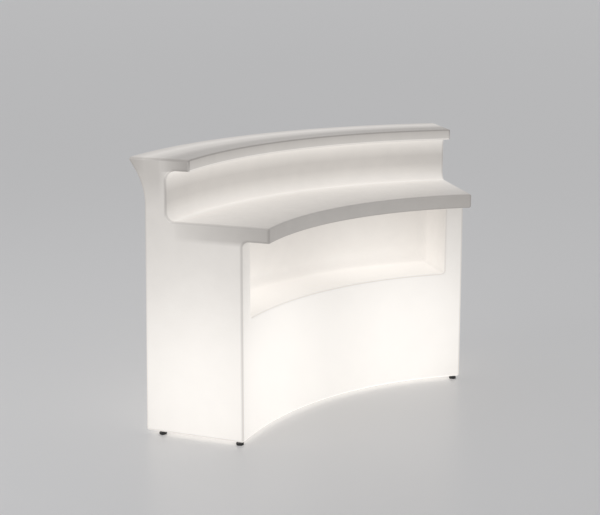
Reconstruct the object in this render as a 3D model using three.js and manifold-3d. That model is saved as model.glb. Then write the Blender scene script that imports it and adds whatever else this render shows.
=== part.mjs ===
// A curved bar counter: one hollow translucent moulding on levelling feet, lit from inside by two lamps.
// Millimetres, +Z up, floor at z = 0. The service side, with worktop and shelf niche, faces -Y.
import * as THREE from 'three';
import { mergeVertices } from 'three/addons/utils/BufferGeometryUtils.js';
import Module from 'manifold-3d';

const wasm = await Module();
wasm.setup();

// Plan of the shell: a sector of a ring about a vertical arc axis, angles in degrees
const SECTOR_ANGLE = 60;
const INNER_WALL_RADIUS = 1217;
const BODY_DEPTH = 413; // inner to outer wall at the base
const OUTER_WALL_LEAN = 14; // how far the outer wall leans in, from the base to the flare
const LIP_REACH = 64; // lip past the top of the outer wall
const TOP_DEPTH = 253; // counter top, from the lip to the ledge's edge
const RISER_DEPTH = 90; // top of the outer wall to the riser's face
const WORKTOP_OVERHANG = 109;

// Heights over the floor, and thicknesses
const TOP_HEIGHT = 1100;
const LEDGE_THICKNESS = 47;
const WORKTOP_HEIGHT = 861;
const WORKTOP_THICKNESS = 59;
const BASE_CLEARANCE = 16;
const WALL = 6;

// Rounding of the shell's section and ends
const FLARE_ANGLE = 33; // lip's slope from the vertical
const FLARE_RADIUS = 260;
const LIP_ROUND = 9;
const LEDGE_ROUND = 4;
const LEDGE_FILLET = 40;
const RISER_FILLET = 32;
const WORKTOP_ROUND = 5;
const OVERHANG_FILLET = 24;
const BASE_ROUND = 10;
const END_ROUND = 10;

// Shelf niche in the inner wall
const NICHE_ANGLE = 52.4;
const NICHE_DEPTH = 273;
const NICHE_FLOOR_HEIGHT = 491;
const NICHE_CORNER = 14;
const NICHE_MOUTH_ROUND = 8;
const NICHE_BACK_FILLET = 40;
const NICHE_MOUTH_LEAD = 6; // how far the mouth's rounding is carried on in front of the wall
const NICHE_CEILING_LEAD = 20; // ceiling's start in front of the wall, inside the overhang's fillet
const NICHE_FRONT_DROP = 30; // front edge of the cut, under the worktop's underside

// Levelling feet
const FIT = 0.3; // gap between pieces that touch
const CUT_OVER = 1; // how far a cut reaches past the face that it opens
const FOOT_PAD_RADIUS = 15;
const FOOT_PAD_HEIGHT = 8;
const FOOT_PAD_CHAMFER = 2;
const FOOT_STEM_RADIUS = 5;
const FOOT_STEM_SEAT = 5.5; // stem's depth in the pad
const FOOT_TRAVEL = 15;
const FOOT_THREAD_HELD = 9; // thread still in the insert at full travel
const INSERT_RADIUS = 8;
const INSERT_END = 3;
const FOOT_BOSS_RADIUS = 20;
const FOOT_INNER_INSET = 25; // foot's axis from the inner wall
const FOOT_END_INSET = 25; // foot's axis from the end face
const FOOT_OUTER_INSET = 61; // foot's axis from the outer wall
const MIDDLE_FOOT_ANGLE = 10;

// Light kits: a recess in the base with a lamp opening, closed by a cover plate
const LAMP_INSET = 204; // lamp's axis from the inner wall
const LAMP_ANGLE = 16.5;
const RECESS_RADIUS = 100;
const RECESS_DEPTH = 48;
const OPENING_RADIUS = 75;
const COVER_RADIUS = 97;
const COVER_THICKNESS = 4;
const PLINTH_RADIUS = 33;
const PLINTH_TAPER = 2;
const PLINTH_HEIGHT = 28;
const GASKET_THICKNESS = 2;
const GASKET_WIDTH = 7;
const GASKET_SETBACK = 2; // gasket's edge from the opening's edge

// Screws
const SCREW_CIRCLE = 90; // cover screws' distance from the lamp's axis
const COVER_SCREWS = 4;
const COVER_SCREW_LENGTH = 16;
const HOLDER_SCREW_SPREAD = 25;
const HOLDER_SCREW_LENGTH = 14;
const SCREW_RADIUS = 2;
const SCREW_HEAD_RADIUS = 4;
const SCREW_HEAD_HEIGHT = 2.5;
const SCREW_HEAD_FLAT = 2.8; // radius of the head's flat end
const SCREW_BOSS_WALL = 3;

// Lampholder and lamp
const HOLDER_FLANGE_RADIUS = 30;
const HOLDER_FLANGE_THICKNESS = 6;
const HOLDER_RADIUS = 20;
const HOLDER_HEIGHT = 50;
const HOLDER_RIM = 4.4; // wall round the socket's mouth
const LAMP_CAP_RADIUS = 13;
const LAMP_CAP_LENGTH = 30;
const LAMP_NECK_LENGTH = 24;
const GLOBE_RADIUS = 47.5;
const GLOBE_NECK_ANGLE = -60; // where the neck runs into the globe, from its equator, in degrees

// Cord gland, terminal block and the lead between block and lampholder
const GLAND_OFFSET = 58; // gland's axis from the lamp's axis
const GLAND_THREAD_RADIUS = 8;
const GLAND_BORE_RADIUS = 4;
const GLAND_HEX_RADIUS = 12.5;
const GLAND_FLANGE_THICKNESS = 6;
const GLAND_TAIL_LENGTH = 8;
const GLAND_SPARE_THREAD = 2;
const LOCK_NUT_THICKNESS = 5;
const DOME_NUT_RADIUS = 11.5;
const DOME_NUT_LENGTH = 17;
const BLOCK_OFFSET = 52; // block's middle from the lamp's axis
const BLOCK_LENGTH = 34;
const BLOCK_WIDTH = 16;
const BLOCK_HEIGHT = 14;
const BLOCK_CHAMFER = 3;
const LEAD_RADIUS = 3;
const LEAD_ENTRY_HEIGHT = 11; // over the lampholder's underside
const LEAD_ENTRY_DEPTH = 6;
const LEAD_STRAIGHT = 10; // straight run at both ends
const LEAD_APPROACH = 22; // from the entry to the last bend
// X and Y from the block, and share of the rise, at the lead's bends
const LEAD_BENDS = [[27, 8, 0.16], [37, 26, 0.5], [33, 44, 0.86]];

// How finely round shapes are divided
const SECTOR_STEPS = 16;
const NICHE_STEPS = 14;
const EDGE_STEPS = 2;
const CORNER_STEPS = 3;
const LIP_STEPS = 4;
const FILLET_STEPS = 5;
const FLARE_STEPS = 6;
const GLOBE_STEPS = 8;
const LEAD_STEPS = 18;
const RECESS_SIDES = 32;
const PLATE_SIDES = 24;
const LAMP_SIDES = 16;
const THREAD_SIDES = 12;
const SCREW_SIDES = 8;
const HEX_HOLE_STEPS = 6;
const LEAD_SIDE_STEPS = 4;
const LEAST_ROUND = 1;

const HALF_ANGLE = THREE.MathUtils.degToRad(SECTOR_ANGLE / 2);
const QUARTER_TURN = Math.PI / 2;

// Materials
const plastic = (color, roughness) => new THREE.MeshStandardMaterial({ color, roughness, metalness: 0 });
const metal = (color, roughness) => new THREE.MeshStandardMaterial({ color, roughness, metalness: 1 });
const SHELL_WHITE = new THREE.MeshStandardMaterial({
  color: 0xf2f0ec,
  emissive: 0xfff8ee,
  emissiveIntensity: 0.5,
  roughness: 0.45,
  metalness: 0,
});
const FOOT_BLACK = plastic(0x1b1b1c, 0.6);
const ZINC_STEEL = metal(0xb9bcc0, 0.35);
const BRASS = metal(0xc9a24d, 0.35);
const COVER_WHITE = plastic(0xe4e2dd, 0.5);
const RUBBER_BLACK = plastic(0x222224, 0.9);
const HOLDER_CERAMIC = plastic(0xf4f1ea, 0.25);
const CAP_METAL = metal(0xc6c7c9, 0.3);
const GLOBE_OPAL = new THREE.MeshStandardMaterial({
  color: 0xfffaf0,
  emissive: 0xfff4e0,
  roughness: 0.3,
});
const GLAND_GREY = plastic(0x5c5f63, 0.55);
const BLOCK_CREAM = plastic(0xe9e3d2, 0.5);
const LEAD_WHITE = plastic(0xd9d9d6, 0.6);

// A closed mesh with shared vertices merged and the collapsed triangles at an axis dropped
function weld(geometry) {
  const bare = geometry.clone();
  bare.deleteAttribute('normal');
  bare.deleteAttribute('uv');
  const merged = mergeVertices(bare, 1e-4);
  const kept = [];
  const index = merged.index.array;
  for (let i = 0; i < index.length; i += 3) {
    const [a, b, c] = [index[i], index[i + 1], index[i + 2]];
    if (a !== b && b !== c && c !== a) kept.push(a, b, c);
  }
  merged.setIndex(kept);
  return merged;
}

// Closed geometry to a solid that can be cut, and back
function solidOf(geometry) {
  const { attributes, index } = weld(geometry);
  return new wasm.Manifold(new wasm.Mesh({
    numProp: 3,
    vertProperties: new Float32Array(attributes.position.array),
    triVerts: new Uint32Array(index.array),
  }));
}

function geometryOf(solid) {
  const { vertProperties, triVerts } = solid.getMesh();
  const geometry = new THREE.BufferGeometry();
  geometry.setAttribute('position', new THREE.BufferAttribute(vertProperties, 3));
  geometry.setIndex(new THREE.BufferAttribute(triVerts, 1));
  geometry.computeVertexNormals();
  return geometry;
}

const joined = (solid, extras) => extras.reduce((sum, extra) => sum.add(solidOf(extra)), solid);
const cut = (solid, tools) => tools.reduce((rest, tool) => rest.subtract(solidOf(tool)), solid);

// Mesh data to a geometry
function meshGeometry(points, faces) {
  const geometry = new THREE.BufferGeometry().setFromPoints(points);
  geometry.setIndex(faces.flat());
  return geometry;
}

const quad = (a, b, c, d) => [a, b, c, a, c, d];

// A profile of [radius, height] points turned about Z. It runs upward on its outer side.
function revolve(profile, sides) {
  const points = profile.map(([r, z]) => new THREE.Vector2(r, z));
  return new THREE.LatheGeometry(points, sides).rotateX(QUARTER_TURN);
}

const revolveRing = (profile, sides) => revolve([...profile, profile[0]], sides);

// A straight round bar from one height to another
function bar(radius, low, high, sides) {
  const length = high - low;
  return new THREE.CylinderGeometry(radius, radius, length, sides)
    .rotateX(QUARTER_TURN)
    .translate(0, 0, low + length / 2);
}

// A hexagonal prism with a round hole, standing on a height
function hexRing(radius, holeRadius, low, height) {
  const corners = Array.from({ length: 6 }, (_, k) => {
    const turn = (k * Math.PI) / 3;
    return new THREE.Vector2(radius * Math.cos(turn), radius * Math.sin(turn));
  });
  const shape = new THREE.Shape(corners);
  shape.holes.push(new THREE.Path().absarc(0, 0, holeRadius, 0, 2 * Math.PI, true));
  const options = { depth: height, bevelEnabled: false, curveSegments: HEX_HOLE_STEPS };
  return new THREE.ExtrudeGeometry(shape, options).translate(0, 0, low);
}

// The point of the plan at a radius and an angle from +Y, moved along the arc's tangent by a shift
function onArc(radius, height, angle, shift = 0) {
  return new THREE.Vector3(
    radius * Math.sin(angle) + shift * Math.cos(angle),
    radius * Math.cos(angle) - shift * Math.sin(angle),
    height,
  );
}

// A closed outline with rounded corners, every edge moved inward by the inset
function roundedOutline(corners, inset) {
  const count = corners.length;
  const leftOf = (v) => new THREE.Vector2(-v.y, v.x);
  const edges = corners.map(({ at }, i) => {
    const along = corners[(i + 1) % count].at.clone().sub(at).normalize();
    return { along, start: at.clone().addScaledVector(leftOf(along), inset) };
  });
  return corners.flatMap(({ round, steps }, i) => {
    const before = edges[(i + count - 1) % count];
    const after = edges[i];
    const cross = before.along.cross(after.along);
    const turn = Math.atan2(cross, before.along.dot(after.along));
    const run = after.start.clone().sub(before.start).cross(after.along) / cross;
    const radius = Math.max(turn > 0 ? round - inset : round + inset, LEAST_ROUND);
    const reach = radius * Math.tan(Math.abs(turn) / 2);
    const begin = before.start.clone().addScaledVector(before.along, run - reach);
    const centre = begin.clone().addScaledVector(leftOf(before.along), Math.sign(turn) * radius);
    return Array.from({ length: steps + 1 }, (_, k) =>
      begin.clone().rotateAround(centre, (turn * k) / steps));
  });
}

// Radii of the shell's faces, from the arc's axis
const OUTER_WALL_RADIUS = INNER_WALL_RADIUS + BODY_DEPTH;
const OUTER_WALL_TOP = OUTER_WALL_RADIUS - OUTER_WALL_LEAN;
const LIP_RADIUS = OUTER_WALL_TOP + LIP_REACH;
const LEDGE_RADIUS = LIP_RADIUS - TOP_DEPTH;
const RISER_RADIUS = OUTER_WALL_TOP - RISER_DEPTH;
const WORKTOP_RADIUS = INNER_WALL_RADIUS - WORKTOP_OVERHANG;
const LEDGE_UNDERSIDE = TOP_HEIGHT - LEDGE_THICKNESS;
const WORKTOP_UNDERSIDE = WORKTOP_HEIGHT - WORKTOP_THICKNESS;

// The shell's section, radius by height, counter-clockwise from the foot of the outer wall
function shellSection(inset) {
  const flare = THREE.MathUtils.degToRad(FLARE_ANGLE);
  // The sharp corner that the rounded lip is cut from
  const lipCorner = LIP_RADIUS + LIP_ROUND * (Math.tan(flare) + 1 / Math.cos(flare) - 1);
  const flareHeight = TOP_HEIGHT - (lipCorner - OUTER_WALL_TOP) / Math.tan(flare);
  const corner = (r, z, round, steps) => ({ at: new THREE.Vector2(r, z), round, steps });
  return roundedOutline([
    corner(OUTER_WALL_RADIUS, BASE_CLEARANCE, BASE_ROUND, EDGE_STEPS),
    corner(OUTER_WALL_TOP, flareHeight, FLARE_RADIUS, FLARE_STEPS),
    corner(lipCorner, TOP_HEIGHT, LIP_ROUND, LIP_STEPS),
    corner(LEDGE_RADIUS, TOP_HEIGHT, LEDGE_ROUND, EDGE_STEPS),
    corner(LEDGE_RADIUS, LEDGE_UNDERSIDE, LEDGE_ROUND, EDGE_STEPS),
    corner(RISER_RADIUS, LEDGE_UNDERSIDE, LEDGE_FILLET, FILLET_STEPS),
    corner(RISER_RADIUS, WORKTOP_HEIGHT, RISER_FILLET, FILLET_STEPS),
    corner(WORKTOP_RADIUS, WORKTOP_HEIGHT, WORKTOP_ROUND, EDGE_STEPS),
    corner(WORKTOP_RADIUS, WORKTOP_UNDERSIDE, WORKTOP_ROUND, EDGE_STEPS),
    corner(INNER_WALL_RADIUS, WORKTOP_UNDERSIDE, OVERHANG_FILLET, FILLET_STEPS),
    corner(INNER_WALL_RADIUS, BASE_CLEARANCE, BASE_ROUND, EDGE_STEPS),
  ], inset);
}

// The section swept round the sector. Both ends pass through the given shifts and insets.
function sweptSection(end) {
  const full = end[end.length - 1].inset;
  const stations = [
    ...end.map(({ shift, inset }) => ({ angle: -HALF_ANGLE, shift, inset })),
    ...Array.from({ length: SECTOR_STEPS - 1 }, (_, k) => ({
      angle: HALF_ANGLE * ((2 * (k + 1)) / SECTOR_STEPS - 1),
      shift: 0,
      inset: full,
    })),
    ...[...end].reverse().map(({ shift, inset }) => ({ angle: HALF_ANGLE, shift: -shift, inset })),
  ];
  const outlines = stations.map(({ inset }) => shellSection(inset));
  const count = outlines[0].length;
  const points = stations.flatMap(({ angle, shift }, s) =>
    outlines[s].map(({ x, y }) => onArc(x, y, angle, shift)));
  const faces = [];
  for (let s = 0; s + 1 < stations.length; s++) {
    for (let i = 0; i < count; i++) {
      const next = (i + 1) % count;
      const [a, b] = [s * count + i, s * count + next];
      faces.push(quad(a, b, b + count, a + count));
    }
  }
  const last = points.length - count;
  for (const [a, b, c] of THREE.ShapeUtils.triangulateShape(outlines[0], [])) {
    faces.push([c, b, a], [last + a, last + b, last + c]);
  }
  return meshGeometry(points, faces);
}

// The pocket that makes the niche, grown on all sides. A mouth radius rounds its front edge.
function nichePocket(grow, mouth) {
  const halfAngle = THREE.MathUtils.degToRad(NICHE_ANGLE / 2);
  const ceilingStart = INNER_WALL_RADIUS - NICHE_CEILING_LEAD;
  const front = INNER_WALL_RADIUS - WORKTOP_OVERHANG / 2;
  const fillet = NICHE_BACK_FILLET + grow;
  const filletCentre = INNER_WALL_RADIUS + NICHE_DEPTH + grow - fillet;
  const turns = Array.from({ length: CORNER_STEPS }, (_, k) => (QUARTER_TURN * (k + 1)) / CORNER_STEPS);

  // Cross-sections from the front to the back: radius, reach past the nominal outline, ceiling's rise
  const mouthRings = turns.map((turn) => ({
    r: INNER_WALL_RADIUS + mouth * (1 - Math.cos(turn)),
    out: grow + mouth * (1 - Math.sin(turn)),
    up: grow,
  }));
  const mouthLead = mouth > 0 ? NICHE_MOUTH_LEAD : 0;
  const leadOut = mouthRings[0].out + mouthLead * Math.cos(turns[0]);
  const leadRing = { r: mouthRings[0].r - mouthLead * Math.sin(turns[0]), out: leadOut, up: grow };
  const rings = [
    { r: front, out: leadOut, up: grow - NICHE_FRONT_DROP },
    { r: ceilingStart, out: leadOut, up: grow },
    ...(mouth > 0 ? [leadRing, ...mouthRings] : []),
    ...[0, ...turns].map((turn) => ({
      r: filletCentre + fillet * Math.sin(turn),
      out: grow - fillet * (1 - Math.cos(turn)),
      up: grow - fillet * (1 - Math.cos(turn)),
    })),
  ];

  // Each cross-section is a row of columns from floor to ceiling, with rounded lower corners
  const columnsOf = ({ r, out }) => {
    const half = halfAngle + out / r;
    const round = Math.max(NICHE_CORNER + out, LEAST_ROUND);
    const floor = NICHE_FLOOR_HEIGHT - out;
    const corner = [0, ...turns].reverse().map((turn) => ({
      angle: -half + (round * (1 - Math.sin(turn))) / r,
      low: floor + round * (1 - Math.cos(turn)),
    }));
    const flat = half - round / r;
    const middle = Array.from({ length: NICHE_STEPS - 1 }, (_, k) => ({
      angle: flat * ((2 * (k + 1)) / NICHE_STEPS - 1),
      low: floor,
    }));
    const mirrored = corner.map(({ angle, low }) => ({ angle: -angle, low })).reverse();
    return [...corner, ...middle, ...mirrored];
  };

  const points = [];
  for (const ring of rings) {
    for (const { angle, low } of columnsOf(ring)) {
      points.push(onArc(ring.r, low, angle), onArc(ring.r, WORKTOP_UNDERSIDE + ring.up, angle));
    }
  }
  const columns = points.length / rings.length / 2;
  const low = (j, k) => 2 * (j * columns + k);
  const high = (j, k) => low(j, k) + 1;
  const faces = [];
  const [lastRing, lastColumn] = [rings.length - 1, columns - 1];
  for (let j = 0; j < lastRing; j++) {
    for (let k = 0; k < lastColumn; k++) {
      faces.push(quad(low(j, k), low(j + 1, k), low(j + 1, k + 1), low(j, k + 1)));
      faces.push(quad(high(j, k), high(j, k + 1), high(j + 1, k + 1), high(j + 1, k)));
    }
    const end = lastColumn;
    faces.push(quad(low(j, 0), high(j, 0), high(j + 1, 0), low(j + 1, 0)));
    faces.push(quad(low(j, end), low(j + 1, end), high(j + 1, end), high(j, end)));
  }
  for (let k = 0; k < lastColumn; k++) {
    faces.push(quad(low(0, k), low(0, k + 1), high(0, k + 1), high(0, k)));
    faces.push(quad(low(lastRing, k), high(lastRing, k), high(lastRing, k + 1), low(lastRing, k + 1)));
  }
  return meshGeometry(points, faces);
}

// Where the feet stand: at the four corners, and two under the bulge of the outer wall
const INNER_FOOT_RADIUS = INNER_WALL_RADIUS + FOOT_INNER_INSET;
const OUTER_FOOT_RADIUS = OUTER_WALL_RADIUS - FOOT_OUTER_INSET;
const middleFootAngle = THREE.MathUtils.degToRad(MIDDLE_FOOT_ANGLE);
const footPlaces = [['left', -1], ['right', 1]].flatMap(([name, side]) => [
  [`inner_${name}`, onArc(INNER_FOOT_RADIUS, 0, side * HALF_ANGLE, -side * FOOT_END_INSET)],
  [`outer_${name}`, onArc(OUTER_FOOT_RADIUS, 0, side * HALF_ANGLE, -side * FOOT_END_INSET)],
  [`middle_${name}`, onArc(OUTER_FOOT_RADIUS, 0, side * middleFootAngle)],
]);

// Where the lamps stand, each with its own Y axis pointing out from the arc's axis
const lampPlaces = [['left', -1], ['right', 1]].map(([name, side]) => {
  const angle = side * THREE.MathUtils.degToRad(LAMP_ANGLE);
  return { name, angle, at: onArc(INNER_WALL_RADIUS + LAMP_INSET, 0, angle) };
});
const atLamp = (geometry, { at, angle }) =>
  geometry.clone().rotateZ(-angle).translate(at.x, at.y, at.z);
const aroundLamp = (count, distance) => Array.from({ length: count }, (_, k) => {
  const turn = (2 * Math.PI * (k + 0.5)) / count;
  return [distance * Math.cos(turn), distance * Math.sin(turn)];
});

// Heights of the foot's and the light kit's pieces
const INSERT_BORE_DEPTH = FOOT_TRAVEL + FOOT_THREAD_HELD + FIT;
const INSERT_TOP = BASE_CLEARANCE + INSERT_BORE_DEPTH + INSERT_END;
const RECESS_ROOF = BASE_CLEARANCE + RECESS_DEPTH;
const GASKET_TOP = RECESS_ROOF - FIT;
const COVER_TOP = GASKET_TOP - GASKET_THICKNESS - FIT;
const COVER_UNDERSIDE = COVER_TOP - COVER_THICKNESS;
const COVER_SCREW_SEAT = COVER_UNDERSIDE - FIT;
const COVER_SCREW_TIP = COVER_SCREW_SEAT + COVER_SCREW_LENGTH;
const PLINTH_TOP = COVER_TOP + PLINTH_HEIGHT;
const HOLDER_UNDERSIDE = PLINTH_TOP + FIT;
const HOLDER_TOP = HOLDER_UNDERSIDE + HOLDER_HEIGHT;
const HOLDER_SCREW_SEAT = HOLDER_UNDERSIDE + HOLDER_FLANGE_THICKNESS + FIT;
const HOLDER_SCREW_TIP = HOLDER_SCREW_SEAT - HOLDER_SCREW_LENGTH;
const CAP_BOTTOM = HOLDER_TOP - LAMP_CAP_LENGTH;
const SOCKET_FLOOR = CAP_BOTTOM - FIT;
const GLOBE_BOTTOM = HOLDER_TOP + FIT;
const coverScrewPlaces = aroundLamp(COVER_SCREWS, SCREW_CIRCLE);
const holderScrewPlaces = [[0, HOLDER_SCREW_SPREAD], [0, -HOLDER_SCREW_SPREAD]];

// The shell: outer form, less the niche, the hollow inside, the lamp recesses and the holes for inserts
function shellGeometry() {
  const endRound = Array.from({ length: EDGE_STEPS + 1 }, (_, k) => {
    const turn = (QUARTER_TURN * k) / EDGE_STEPS;
    return { shift: END_ROUND * (1 - Math.cos(turn)), inset: END_ROUND * (1 - Math.sin(turn)) };
  });
  const outer = solidOf(sweptSection(endRound));
  const floor = 0; // tools start at the floor, below the base
  const screwBossRadius = SCREW_RADIUS + FIT + SCREW_BOSS_WALL;
  const footBoss = bar(FOOT_BOSS_RADIUS, floor, INSERT_TOP + FIT + WALL, LAMP_SIDES);
  const screwBoss = bar(screwBossRadius, floor, COVER_SCREW_TIP + FIT + SCREW_BOSS_WALL, SCREW_SIDES);
  const recessBoss = bar(RECESS_RADIUS + WALL, floor, RECESS_ROOF + WALL, RECESS_SIDES);
  const insertHole = bar(INSERT_RADIUS + FIT, floor, INSERT_TOP + FIT, THREAD_SIDES);
  const screwHole = bar(SCREW_RADIUS + FIT, floor, COVER_SCREW_TIP + FIT, SCREW_SIDES);
  const recess = bar(RECESS_RADIUS, floor, RECESS_ROOF, RECESS_SIDES);
  const opening = bar(OPENING_RADIUS, floor, RECESS_ROOF + WALL + CUT_OVER, RECESS_SIDES);
  const atFeet = (tool) => footPlaces.map(([, at]) => tool.clone().translate(at.x, at.y, 0));
  const atLamps = (tool) => lampPlaces.map((place) => atLamp(tool, place));
  const atScrews = (tool) => coverScrewPlaces.flatMap(([x, y]) => atLamps(tool.clone().translate(x, y, 0)));
  const bosses = [...atFeet(footBoss), ...atLamps(recessBoss), ...atScrews(screwBoss)];
  const holes = [...atFeet(insertHole), ...atLamps(recess), ...atLamps(opening), ...atScrews(screwHole)];

  const inside = solidOf(sweptSection([{ shift: WALL, inset: WALL }]));
  const hollow = cut(inside, [nichePocket(WALL, 0), ...bosses]);
  const walls = cut(outer, [nichePocket(0, NICHE_MOUTH_ROUND)]).subtract(hollow);
  return geometryOf(cut(walls, holes));
}

// A levelling foot: pad, threaded stem, and the insert that the stem screws into
function footPieces() {
  const socketFloor = FOOT_PAD_HEIGHT - FOOT_STEM_SEAT;
  const socketRadius = FOOT_STEM_RADIUS + FIT;
  const boreRadius = FOOT_STEM_RADIUS + FIT;
  const boreTop = BASE_CLEARANCE + INSERT_BORE_DEPTH;
  return [
    ['foot_pad', FOOT_BLACK, revolve([
      [0, 0],
      [FOOT_PAD_RADIUS - FOOT_PAD_CHAMFER, 0],
      [FOOT_PAD_RADIUS, FOOT_PAD_CHAMFER],
      [FOOT_PAD_RADIUS, FOOT_PAD_HEIGHT],
      [socketRadius, FOOT_PAD_HEIGHT],
      [socketRadius, socketFloor],
      [0, socketFloor],
    ], LAMP_SIDES)],
    ['foot_stem', ZINC_STEEL, bar(FOOT_STEM_RADIUS, socketFloor + FIT, boreTop - FIT, THREAD_SIDES)],
    ['foot_insert', BRASS, revolve([
      [0, boreTop],
      [boreRadius, boreTop],
      [boreRadius, BASE_CLEARANCE],
      [INSERT_RADIUS, BASE_CLEARANCE],
      [INSERT_RADIUS, INSERT_TOP],
      [0, INSERT_TOP],
    ], THREAD_SIDES)],
  ];
}

// A pan-head screw. Its head sits at a seat and its shank points up or down.
function screw(seat, tip) {
  const away = Math.sign(seat - tip) * SCREW_HEAD_HEIGHT;
  const profile = [
    [0, tip],
    [SCREW_RADIUS, tip],
    [SCREW_RADIUS, seat],
    [SCREW_HEAD_RADIUS, seat],
    [SCREW_HEAD_RADIUS, seat + away / 2],
    [SCREW_HEAD_FLAT, seat + away],
    [0, seat + away],
  ];
  return revolve(tip < seat ? profile : profile.reverse(), SCREW_SIDES);
}

// Cover plate with a hollow plinth for the lampholder, blind bosses for its screws, and the gland's hole
function coverGeometry() {
  const inner = PLINTH_RADIUS - COVER_THICKNESS;
  const plate = revolve([
    [0, PLINTH_TOP - COVER_THICKNESS],
    [inner - PLINTH_TAPER, PLINTH_TOP - COVER_THICKNESS],
    [inner, COVER_UNDERSIDE],
    [COVER_RADIUS, COVER_UNDERSIDE],
    [COVER_RADIUS, COVER_TOP],
    [PLINTH_RADIUS, COVER_TOP],
    [PLINTH_RADIUS - PLINTH_TAPER, PLINTH_TOP],
    [0, PLINTH_TOP],
  ], PLATE_SIDES);
  const bossRadius = SCREW_RADIUS + FIT + SCREW_BOSS_WALL / 2;
  const bossLow = HOLDER_SCREW_TIP - FIT - SCREW_BOSS_WALL;
  const boss = bar(bossRadius, bossLow, PLINTH_TOP - COVER_THICKNESS / 2, SCREW_SIDES);
  const through = [COVER_UNDERSIDE - CUT_OVER, COVER_TOP + CUT_OVER];
  const screwHole = bar(SCREW_RADIUS + FIT, ...through, SCREW_SIDES);
  const blindHole = bar(SCREW_RADIUS + FIT, HOLDER_SCREW_TIP - FIT, PLINTH_TOP + CUT_OVER, SCREW_SIDES);
  const glandHole = bar(GLAND_THREAD_RADIUS + FIT, ...through, THREAD_SIDES);
  const placed = (tool, places) => places.map(([x, y]) => tool.clone().translate(x, y, 0));
  return geometryOf(cut(joined(solidOf(plate), placed(boss, holderScrewPlaces)), [
    ...placed(screwHole, coverScrewPlaces),
    ...placed(blindHole, holderScrewPlaces),
    ...placed(glandHole, [[-GLAND_OFFSET, 0]]),
  ]));
}

// Batten lampholder: flange with two screw holes, socket, and a side entry for the lead
function holderGeometry() {
  const socket = LAMP_CAP_RADIUS + FIT;
  const flangeTop = HOLDER_UNDERSIDE + HOLDER_FLANGE_THICKNESS;
  const body = revolve([
    [0, HOLDER_UNDERSIDE],
    [HOLDER_FLANGE_RADIUS, HOLDER_UNDERSIDE],
    [HOLDER_FLANGE_RADIUS, flangeTop],
    [HOLDER_RADIUS, flangeTop],
    [HOLDER_RADIUS, SOCKET_FLOOR],
    [socket + HOLDER_RIM, HOLDER_TOP],
    [socket, HOLDER_TOP],
    [socket, SOCKET_FLOOR],
    [0, SOCKET_FLOOR],
  ], LAMP_SIDES);
  const entry = bar(LEAD_RADIUS + FIT, -LEAD_ENTRY_DEPTH, LEAD_ENTRY_DEPTH, SCREW_SIDES)
    .rotateY(QUARTER_TURN)
    .translate(HOLDER_RADIUS, 0, HOLDER_UNDERSIDE + LEAD_ENTRY_HEIGHT);
  const hole = bar(SCREW_RADIUS + FIT, HOLDER_UNDERSIDE - CUT_OVER, flangeTop + CUT_OVER, SCREW_SIDES);
  const screwHoles = holderScrewPlaces.map(([x, y]) => hole.clone().translate(x, y, 0));
  return geometryOf(cut(solidOf(body), [entry, ...screwHoles]));
}

// Globe lamp: a neck that swells into a sphere
function globeGeometry() {
  const centre = GLOBE_BOTTOM + LAMP_NECK_LENGTH + GLOBE_RADIUS;
  const first = THREE.MathUtils.degToRad(GLOBE_NECK_ANGLE);
  const sphere = Array.from({ length: GLOBE_STEPS }, (_, k) => {
    const turn = first + ((QUARTER_TURN - first) * k) / GLOBE_STEPS;
    return [GLOBE_RADIUS * Math.cos(turn), centre + GLOBE_RADIUS * Math.sin(turn)];
  });
  const neck = [[0, GLOBE_BOTTOM], [LAMP_CAP_RADIUS, GLOBE_BOTTOM]];
  return revolve([...neck, ...sphere, [0, centre + GLOBE_RADIUS]], LAMP_SIDES);
}

// Cord gland: a hexagonal flange under the cover with a thread on both sides, its lock nut and its dome nut
function glandPieces() {
  const flangeTop = COVER_UNDERSIDE - FIT;
  const flangeLow = flangeTop - GLAND_FLANGE_THICKNESS;
  const nutLow = COVER_TOP + FIT;
  const threadTop = nutLow + LOCK_NUT_THICKNESS + GLAND_SPARE_THREAD;
  const tailLow = flangeLow - GLAND_TAIL_LENGTH;
  const domeTop = flangeLow - FIT;
  const domeLow = domeTop - DOME_NUT_LENGTH;
  const tube = revolveRing([
    [GLAND_BORE_RADIUS, tailLow],
    [GLAND_THREAD_RADIUS, tailLow],
    [GLAND_THREAD_RADIUS, threadTop],
    [GLAND_BORE_RADIUS, threadTop],
  ], THREAD_SIDES);
  const inTube = GLAND_THREAD_RADIUS - CUT_OVER;
  const flange = hexRing(GLAND_HEX_RADIUS, inTube, flangeLow, GLAND_FLANGE_THICKNESS);
  const nutHole = GLAND_THREAD_RADIUS + FIT;
  return [
    ['gland_body', GLAND_GREY, geometryOf(joined(solidOf(tube), [flange]))],
    ['gland_lock_nut', GLAND_GREY, hexRing(GLAND_HEX_RADIUS, nutHole, nutLow, LOCK_NUT_THICKNESS)],
    ['gland_dome_nut', GLAND_GREY, revolveRing([
      [GLAND_BORE_RADIUS, domeLow],
      [(GLAND_BORE_RADIUS + DOME_NUT_RADIUS) / 2, domeLow],
      [DOME_NUT_RADIUS, (domeLow + tailLow) / 2],
      [DOME_NUT_RADIUS, domeTop],
      [nutHole, domeTop],
      [nutHole, tailLow - FIT],
      [GLAND_BORE_RADIUS, tailLow - FIT],
    ], THREAD_SIDES)],
  ];
}

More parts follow.
